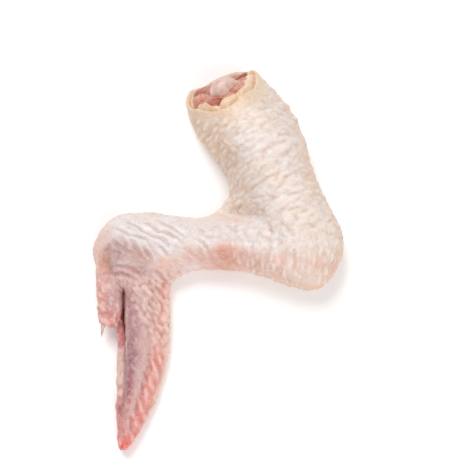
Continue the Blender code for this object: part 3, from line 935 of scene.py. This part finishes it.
def put_masks(piece, fields):
    """Stores each mask on the piece's points, held between 0 and 1."""
    for name, values in fields.items():
        layer = piece.data.attributes.new(name, "FLOAT", "POINT")
        layer.data.foreach_set("value", np.clip(values, 0, 1).astype(np.float32))


put_masks(wing, masks)
print("masks on the skin:", sorted(masks))

# %% [markdown]
# ## Paint mixed in nodes
#
# Raw skin, meat, bone and horn all have cloudy colour. Each material could have its own
# noise, but a change would have to be made in all of them, so they share one node group.
# Small helpers keep the trees readable. Colours are the 0 to 255 numbers of a swatch.

# %% Node helpers


def swatch(r, g, b):
    """A 0 to 255 screen colour as the linear colour that shaders want."""
    c = np.array([r, g, b]) / 255
    return (*np.where(c <= 0.04045, c / 12.92, ((c + 0.055) / 1.055) ** 2.4), 1)


def node(tree, kind, inputs=(), **settings):
    """A new node with its settings, and with pairs of a socket and what goes in there: the
    output of another node, or a number or a colour."""
    made = tree.nodes.new(kind)
    for name, value in settings.items():
        setattr(made, name, value)
    for socket, value in inputs:
        if isinstance(value, bpy.types.NodeSocket):
            tree.links.new(value, made.inputs[socket])
        else:
            made.inputs[socket].default_value = value
    return made


def mixed(tree, share, a, b):
    """Colour a turning into colour b as share goes from 0 to 1. A Mix node's sockets 0, 6
    and 7 are the share and the two colours, and its output 2 is the mixed colour."""
    return node(tree, "ShaderNodeMix", ((0, share), (6, a), (7, b)), data_type="RGBA").outputs[2]


def mask(tree, name, start=0, most=1):
    """The mask of that name on the points: 0 up to start, then rising to most at 1."""
    field = node(tree, "ShaderNodeAttribute", attribute_name=name).outputs["Fac"]
    inputs = (("Value", field), ("From Min", start), ("From Max", 1), ("To Min", 0), ("To Max", most))
    return node(tree, "ShaderNodeMapRange", inputs).outputs["Result"]


print("mid grey as a linear colour:", swatch(128, 128, 128)[0].round(3))

# %% Shared group for cloudy patches
NOISE_INPUTS = ("Scale", "Detail", "Distortion")
RANGE_INPUTS = ("From Min", "From Max", "To Min", "To Max")
cloudy = bpy.data.node_groups.new("cloudy patches", "ShaderNodeTree")
for name in NOISE_INPUTS + RANGE_INPUTS:
    cloudy.interface.new_socket(name, in_out="INPUT", socket_type="NodeSocketFloat")
cloudy.interface.new_socket("Cloud", in_out="OUTPUT", socket_type="NodeSocketFloat")
given = node(cloudy, "NodeGroupInput").outputs
place = node(cloudy, "ShaderNodeTexCoord").outputs["Object"]
inputs = [("Vector", place)] + [(name, given[name]) for name in NOISE_INPUTS]
noise = node(cloudy, "ShaderNodeTexNoise", inputs).outputs["Fac"]
inputs = [("Value", noise)] + [(name, given[name]) for name in RANGE_INPUTS]
held = node(cloudy, "ShaderNodeMapRange", inputs).outputs["Result"]
node(cloudy, "NodeGroupOutput", [("Cloud", held)])


def cloud(tree, size, low=0, high=1, to_low=0, to_high=1, detail=3, distortion=0):
    """Cloudy noise with blotches about size metres across, fixed to the piece. Its range
    from low to high is stretched to the one from to_low to to_high, and held there."""
    numbers = (1 / size, detail, distortion, low, high, to_low, to_high)
    inputs = zip(NOISE_INPUTS + RANGE_INPUTS, numbers)
    return node(tree, "ShaderNodeGroup", inputs, node_tree=cloudy).outputs["Cloud"]


print("the shared group has", len(cloudy.nodes), "nodes")

# %% Moist surfaces


def surface(piece, name, inputs):
    """Gives the piece a new material with values for its Principled shader; returns its
    node tree and the shader."""
    material = bpy.data.materials.new(name)
    material.use_nodes = True
    shader = material.node_tree.nodes["Principled BSDF"]
    for socket, value in inputs.items():
        shader.inputs[socket].default_value = value
    piece.data.materials.clear()
    piece.data.materials.append(material)
    return material.node_tree, shader


def moist(piece, name, roughness, coat, light_depth):
    """A wet surface with a little light passing under it, red light the farthest."""
    return surface(piece, name, {
        "Roughness": roughness, "Coat Weight": coat, "Coat Roughness": 0.25, "IOR": 1.4,
        "Subsurface Weight": 0.2, "Subsurface Radius": (1, 0.62, 0.5), "Subsurface Scale": light_depth,
    })


def two_tone(tree, size, low, high, first, second):
    """Two swatches in cloudy patches about size metres across."""
    return mixed(tree, cloud(tree, size, low, high), swatch(*first), swatch(*second))


def grained(tree, shader, size, strength, height, detail=3, distortion=0):
    """A fine bump, up to height metres, from cloudy noise about size metres across."""
    grain = cloud(tree, size, detail=detail, distortion=distortion)
    inputs = (("Strength", strength), ("Distance", height), ("Height", grain))
    tree.links.new(node(tree, "ShaderNodeBump", inputs).outputs["Normal"], shader.inputs["Normal"])


def painted(tree, shader, colour):
    """Ends a material with its colour."""
    tree.links.new(colour, shader.inputs["Base Color"])
    print("nodes in this material:", len(tree.nodes))


print("materials before the wing has its own:", len(bpy.data.materials))

# %% [markdown]
# ## Skin
#
# Raw skin is a creamy ground with pinker and yellower patches a few millimetres across,
# with painted shade in the creases and a painted highlight on each crest. Noise alone would
# spread these evenly, so only the ground is noise, and the rest is laid on by its mask,
# from fat to blood.

# %% Ground colours and washes
# Of these washes, tan, brown and gap are painted shade; the rest are the skin's own colours.
WASHES = {
    "tan": (224, 186, 156), "fat": (232, 198, 154), "hand": (228, 198, 192), "peach": (228, 164, 141),
    "mauve": (178, 130, 133), "brown": (188, 136, 120), "dusk": (156, 110, 120), "coral": (228, 138, 126),
    "gap": (206, 112, 106), "pale": (242, 212, 190), "strip": (203, 91, 90), "tip": (236, 96, 86),
}
tree, shader = moist(wing, "raw skin", roughness=0.46, coat=0.25, light_depth=1 * MM)
white = two_tone(tree, 0.009, 0.35, 0.65, (234, 229, 231), (238, 227, 221))
creamy = two_tone(tree, 0.011, 0.35, 0.65, (238, 230, 226), (238, 222, 207))
colour = mixed(tree, mask(tree, "cream"), white, creamy)
colour = mixed(tree, cloud(tree, 0.0034, 0.5, 0.75, 0, 0.35), colour, swatch(226, 198, 192))
for name, tint in WASHES.items():
    colour = mixed(tree, mask(tree, name), colour, swatch(*tint))
print("washes over the ground:", len(WASHES))

# %% Speckle, painted highlight on crests, painted shade in creases, and grain
on_back = mask(tree, "hand")
light_dots = cloud(tree, 0.0014, 0.45, 0.69, 0, 0.37, detail=4, distortion=0.8)
colour = mixed(tree, light_dots, colour, swatch(240, 214, 204))
dark_dots = cloud(tree, 0.0019, 0.52, 0.71, 0, 0.42, detail=4, distortion=0.8)
colour = mixed(tree, dark_dots, colour, mixed(tree, on_back, swatch(208, 166, 148), swatch(172, 104, 108)))
# Painted highlight on the crests, and painted shade in the creases.
crest_highlight_colour = mixed(tree, on_back, swatch(246, 235, 226), swatch(243, 216, 206))
colour = mixed(tree, mask(tree, "crest_highlight", 0.15, 0.5), colour, crest_highlight_colour)
crease_shade_ground = mixed(tree, mask(tree, "cream"), swatch(192, 166, 166), swatch(206, 168, 146))
crease_shade_colour = mixed(tree, on_back, crease_shade_ground, swatch(178, 110, 112))
colour = mixed(tree, mask(tree, "crease", most=0.42), colour, crease_shade_colour)
# Dark red in the slit and the gutter: partly blood, partly painted shade.
colour = mixed(tree, mask(tree, "blood_and_shade"), colour, swatch(122, 34, 38))
tree.links.new(cloud(tree, 0.004, 0.3, 0.7, 0.38, 0.54), shader.inputs["Roughness"])
grained(tree, shader, 0.0014, strength=0.8, height=0.0009, detail=4, distortion=0.6)
painted(tree, shader, colour)

# %% [markdown]
# ## The cut at the shoulder
#
# The knife goes through the shoulder joint, so the end shows muscle in a few bundles
# round the bone's pearly head, with a rim of yellow fat under the skin. A flat disc with
# a texture would look printed. So each bundle is a low dome: every point of the cut
# belongs to the nearest of six middles, and where the nearest two are equally far away
# runs a groove with a thread of fascia.

# %% Flat disc in the cut
CUT_SIDES, CUT_RINGS = 220, 70
rim = drawn_in(cut_rim, 0.075, 0, out_of_cut)
rim_at = np.arange(len(rim) + 1) / len(rim)
rim_to = np.arange(CUT_SIDES) / CUT_SIDES
rim = np.column_stack([np.interp(rim_to, rim_at, np.append(c, c[0])) for c in rim.T])
share = np.linspace(1, 0.02, CUT_RINGS)[:, None]
around = np.linspace(0, 2 * np.pi, CUT_SIDES, endpoint=False)[None, :]
flat_disc = cut_middle + (rim - cut_middle)[None] * share[:, :, None]
level_way = np.append(direction(ARM_TURN - np.pi / 2), 0)
upright_way = np.cross(level_way, out_of_cut)
upright_way *= np.sign(upright_way[2])
u = (flat_disc - cut_middle) @ level_way
v = (flat_disc - cut_middle) @ upright_way
disc_noise = lumps(flat_disc.reshape(-1, 3), 4, 6).reshape(CUT_RINGS, CUT_SIDES)
grain_noise = lumps(flat_disc.reshape(-1, 3), 0.9, 2).reshape(CUT_RINGS, CUT_SIDES)
print("the cut is", np.ptp(u).round(1), "mm wide and", np.ptp(v).round(1), "mm high")

# %% Bundles of muscle
BUNDLES = (
    # across, up, size, tone
    (9.5, 5.5, 1.75, 0.75), (-9.5, 5, 1.2, 0.2), (-0.5, -9.8, 1.3, 0.45), (-1.5, 11, 0.8, 1),
    (10.5, -7.5, 0.9, 0.1), (-10.5, -5, 0.85, 0.9),
)
first = np.full(u.shape, np.inf)
second = first.copy()
tone = np.zeros(u.shape)
for across, up, size, shade in BUNDLES:
    away = np.hypot(u - across + 1.3 * disc_noise, v - up - 1.3 * disc_noise) / size
    tone = np.where(away < first, shade, tone)
    second = np.minimum(second, np.maximum(first, away))
    first = np.minimum(first, away)
bundle_edge = bell(second - first, 1.8)
bundle_back = np.clip(1 - (first / 6.5) ** 2, 0, 1)
fat_start = 0.87 + 0.09 * np.sin(around + 2.2) + 0.05 * np.sin(3 * around) + 0.02 * np.sin(8 * around)
fat_rim = rise(-0.03, 0.03, share - fat_start + 0.08 * disc_noise)
inside = rise(1, 0.85, share)
lift = 1.6 * (1 - share**2.2) - 1.4 * rise(0.85, 1, share) + 0.4 * fat_rim + 0.16 * grain_noise
lift += inside * (1.3 * bundle_back - 0.6 * bundle_edge) + 0.5 * disc_noise * share
print("the meat stands up to", lift.max().round(1), "mm out of the cut")

# %% Meat in the cut
domed = flat_disc + out_of_cut * lift[:, :, None]
back = [drawn_in(rim, share_in, -push, out_of_cut) for share_in, push in ((0.5, 4.2), (0.02, 3))]
meat_ends = (cut_middle - 4.2 * out_of_cut, domed[-1].mean(0))
meat = ring_piece("cut_meat", np.concatenate([back, domed]), meat_ends)
collar = bell(np.hypot(u, v) - 6.6 + 0.8 * disc_noise, 1) * (0.6 + 0.5 * grain_noise)
fascia = strongest(bell(second - first, 0.9) * rise(-0.2, 0.5, disc_noise) * inside, collar)
cut_masks = {"fat": fat_rim, "seam": bundle_edge * inside, "fascia": fascia, "tone": tone}
for name, values in cut_masks.items():
    # The rings at the back take the rim's values, and each end point takes its ring's first
    values = np.concatenate([np.repeat(values[:1], len(back), axis=0), values])
    cut_masks[name] = np.append(values.ravel(), [values[0, 0], values[-1, 0]])
put_masks(meat, cut_masks)
print("masks on the meat:", sorted(cut_masks))

# %% Colours of the meat
tree, shader = moist(meat, "raw meat", roughness=0.32, coat=0.35, light_depth=1 * MM)
marble = cloud(tree, 0.0024, 0.36, 0.64, detail=5, distortion=1.2)
deep = mixed(tree, marble, swatch(146, 66, 50), swatch(192, 106, 80))
light = mixed(tree, marble, swatch(182, 98, 74), swatch(224, 152, 122))
colour = mixed(tree, mask(tree, "tone"), deep, light)
# Painted shade in the grooves between the bundles of muscle.
colour = mixed(tree, mask(tree, "seam", 0.2, 0.4), colour, swatch(140, 60, 48))
colour = mixed(tree, mask(tree, "fascia", 0.2, 0.6), colour, swatch(230, 188, 164))
fat_colour = two_tone(tree, 0.002, 0.35, 0.7, (240, 214, 186), (230, 188, 148))
colour = mixed(tree, mask(tree, "fat"), colour, fat_colour)
grained(tree, shader, 0.0009, strength=0.4, height=0.0005, distortion=0.2)
painted(tree, shader, colour)

# %% [markdown]
# ## Arm bone
#
# Only the humerus shows, as a smooth head of cartilage in the middle of the cut. A ball
# would look the same from here, but the real bone runs the full length of the arm, so
# it is one turned form: broad head, slim shaft, low end.

# %% Bone
BONE = (
    # share of the way to the elbow, half width, half height
    (0, 2.4, 1.8), (0.02, 4.6, 3.6), (0.06, 6.4, 5), (0.12, 6.2, 4.8), (0.2, 4.6, 3.7), (0.3, 3.5, 3),
    (0.5, 3.1, 2.8), (0.7, 3.3, 2.9), (0.85, 4.4, 3.4), (0.95, 4.6, 3.4), (0.99, 2.6, 1.8),
)
HEAD_OUT = 8.5
HEAD_HEIGHT = 15.5
BONE_DROP = 3.5
head = SHOULDER + HEAD_OUT * ARM
rows = [(*(head + s * (ELBOW - head)), HEAD_HEIGHT - BONE_DROP * s, wide, tall) for s, wide, tall in BONE]
bone = tube("arm_bone_head", rows, sides=48, rings=150)
tree, shader = moist(bone, "bone and cartilage", roughness=0.4, coat=0.1, light_depth=1 * MM)
grained(tree, shader, 0.0016, strength=0.3, height=0.0004)
painted(tree, shader, two_tone(tree, 0.004, 0.35, 0.7, (232, 210, 200), (204, 152, 136)))

# %% [markdown]
# ## Claw
#
# A young bird keeps a thin horny claw at the end of its thumb, about 5 mm long. A cone
# would be too straight, so it is a tube like the thumb, thinner along its line.

# %% Claw
CLAW = (
    # x, y, z, half width, half height
    (-8.6, -26.5, 6.8, 1.3, 1.2), (-9.2, -29.5, 6.7, 1, 0.9), (-9.6, -32, 6.4, 0.65, 0.6),
    (-9.9, -34.6, 6, 0.2, 0.2),
)
claw = tube("thumb_claw", CLAW, sides=20, rings=40)
tree, shader = moist(claw, "horn", roughness=0.35, coat=0.2, light_depth=0.6 * MM)
painted(tree, shader, two_tone(tree, 0.002, 0.3, 0.7, (224, 204, 198), (196, 168, 162)))

# %% [markdown]
# ## Pieces in place of the solids
#
# The plain solids carry the weight and the contacts, and the dressed pieces are only
# seen. Each piece hides the solid it replaces, and rides on the wing's one body.

# %% Pieces
for piece, solid, slot in (
    (wing, "wing", "skin"), (meat, "wing", "skin"), (claw, "wing", "skin"), (bone, "arm_bone", "bone"),
):
    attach(piece, "root")
    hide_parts(solid)
    piece.data.calc_loop_triangles()
    print(piece.name, "has", len(piece.data.loop_triangles), "triangles")

# %% [markdown]
# ## Stage
#
# A hard lamp would show every fold but burn the wet skin white. So a pale floor is lit
# by a big soft light from the far side, as from a window, and a weaker one from the near
# side, and the camera looks down.

# %% Floor
FLOOR_HALF = 9
FLOOR_LEVEL = -0.0001
corners = [(FLOOR_HALF * a, FLOOR_HALF * b, FLOOR_LEVEL) for a, b in ((-1, -1), (1, -1), (1, 1), (-1, 1))]
floor_mesh = bpy.data.meshes.new("floor")
floor_mesh.from_pydata(corners, [], [(0, 1, 2, 3)])
floor = new_object("floor", floor_mesh)
surface(floor, "pale floor", {
    "Base Color": swatch(252, 251, 251), "Roughness": 0.7,
    "Emission Color": (1, 1, 1, 1), "Emission Strength": 0.1,
})
print("floor:", 2 * FLOOR_HALF, "m square")

# %% Lights


def soft_light(name, place, size, watts):
    """A square area light at a place, turned towards the origin."""
    data = bpy.data.lights.new(name, "AREA")
    data.size = size
    data.energy = watts
    light = new_object(name, data)
    way = -np.array(place) / np.linalg.norm(place)
    light.location = place
    light.rotation_euler = (np.arccos(-way[2]), 0, np.arctan2(-way[0], way[1]))
    print(name, "of", watts, "W from", place)


soft_light("window", (-0.45, 1, 1.45), size=0.9, watts=20)
soft_light("fill", (0.6, -1.2, 1), size=1.4, watts=15)
world = bpy.data.worlds.new("studio")
world.use_nodes = True
sky = world.node_tree.nodes["Background"].inputs
sky["Color"].default_value = (1, 0.99, 0.985, 1)
sky["Strength"].default_value = 0.4
bpy.context.scene.world = world
bpy.context.scene.view_settings.view_transform = "Standard"

# %% Camera
AIM = np.array([7.55, 6.01, 8]) * MM
CAMERA_RISE = np.radians(78)
CAMERA_AWAY = 0.448
camera_data = bpy.data.cameras.new("camera")
camera_data.lens = 85
camera_data.sensor_width = 36
camera_data.clip_start = 0.01
camera = new_object("camera", camera_data)
camera.location = AIM + CAMERA_AWAY * np.array([0, -np.cos(CAMERA_RISE), np.sin(CAMERA_RISE)])
camera.rotation_euler = (np.pi / 2 - CAMERA_RISE, 0, 0)
bpy.context.scene.camera = camera
print("camera at", [round(v, 3) for v in camera.location])
